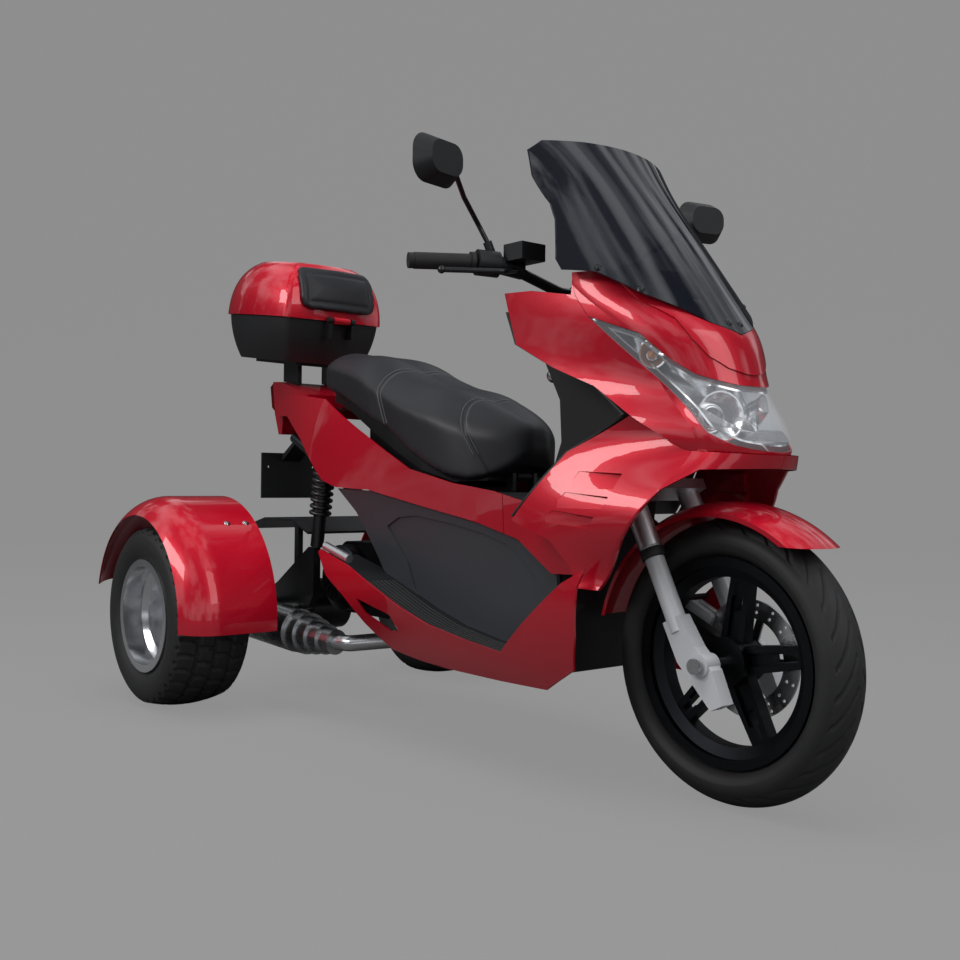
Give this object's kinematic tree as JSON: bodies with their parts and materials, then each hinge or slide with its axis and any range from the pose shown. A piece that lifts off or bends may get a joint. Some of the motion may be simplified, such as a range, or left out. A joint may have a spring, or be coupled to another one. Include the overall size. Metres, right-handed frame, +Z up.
{
  "type": "moped trike",
  "caption": "Step-through moped trike with a steered front wheel, two wide rear wheels, tall screen, hinged seat and a rear luggage case with a lid.",
  "frame": {"origin": "on the ground below the centre of the bounding box", "axes": "+X forward, +Y to the rider's left, +Z up"},
  "size_m": [1.9802, 1.072, 1.2509],
  "materials": {
    "black_metal": "satin black",
    "black_plastic": "moulded black",
    "black_rim": "satin black cast",
    "clear": "clear",
    "grey_plastic": "moulded dark grey",
    "lamp": "dark red",
    "polished": "polished",
    "red_paint": "gloss metallic red",
    "reflector": "bright",
    "rubber": "black rubber",
    "seat": "black leatherette",
    "silver": "satin cast",
    "smoke": "smoke tint",
    "steel": "brushed",
    "tyre": "black rubber"
  },
  "bodies": {
    "chassis": {"belly_pan": "black_plastic", "case_hinge": "steel", "case_tub": "black_plastic", "cvt_case": "black_metal", "dash_panel": "black_plastic", "engine": "silver", "fan_cover": "silver", "fender_stays": "black_metal", "floorboards": "black_plastic", "footpegs": "silver", "footwell_panels": "grey_plastic", "frame": "black_metal", "front_cowl": "red_paint", "headlight_lens": "clear", "headlight_reflector": "reflector", "inner_shield": "black_plastic", "lower_fairings": "red_paint", "luggage_bucket": "black_plastic", "muffler": "black_metal", "plate_holder": "black_plastic", "rack": "black_metal", "rear_axle": "black_metal", "rear_dampers": "black_metal", "rear_fenders": "red_paint", "rear_mudguard": "black_plastic", "seat_hinge": "steel", "side_fairings": "red_paint", "side_panels": "red_paint", "swing_arms": "black_metal", "tail_lamp": "lamp", "tail_section": "red_paint", "tunnel_cover": "black_plastic", "wheel_well": "black_plastic", "windscreen": "smoke", "wings": "red_paint"},
    "front_wheel": {"front_tyre": "tyre", "front_rim": "black_rim", "front_disc": "steel"},
    "rear_wheel_left": {"rear_tyre_left": "tyre", "rear_rim_left": "polished"},
    "rear_wheel_right": {"rear_tyre_right": "tyre", "rear_rim_right": "polished"},
    "steering": {"fork_lowers": "silver", "fork_yoke": "steel", "front_axle": "steel", "brake_caliper": "silver", "front_fender": "red_paint", "handlebar": "black_metal", "grips": "rubber", "control_blocks": "black_plastic", "brake_levers": "steel", "mirror_stems": "black_metal", "mirror_heads": "black_plastic"},
    "seat": {"seat": "seat", "seat_pan": "black_plastic"},
    "case_lid": {"case_lid": "red_paint", "case_pad": "seat"}
  },
  "joints": [
    {"name": "steer", "type": "hinge", "parent": "chassis", "child": "steering", "pos_m": [0.715, 0, 0.259], "axis": [-0.454, 0, 0.891], "range_deg": [-32, 32]},
    {"name": "front_wheel_spin", "type": "hinge", "parent": "steering", "child": "front_wheel", "pos_m": [0.743, 0, 0.259], "axis": [0, 1, 0], "continuous": true},
    {"name": "rear_wheel_left_spin", "type": "hinge", "parent": "chassis", "child": "rear_wheel_left", "pos_m": [-0.687, 0.422, 0.2295], "axis": [0, 1, 0], "continuous": true},
    {"name": "rear_wheel_right_spin", "type": "hinge", "parent": "chassis", "child": "rear_wheel_right", "pos_m": [-0.687, -0.422, 0.2295], "axis": [0, 1, 0], "continuous": true},
    {"name": "seat_hinge", "type": "hinge", "parent": "chassis", "child": "seat", "pos_m": [0.158, 0, 0.59], "axis": [0, 1, 0], "range_deg": [0, 60]},
    {"name": "case_lid_hinge", "type": "hinge", "parent": "chassis", "child": "case_lid", "pos_m": [-0.5964, 0, 1.00766], "axis": [0, 1, 0], "range_deg": [0, 80]}
  ]
}
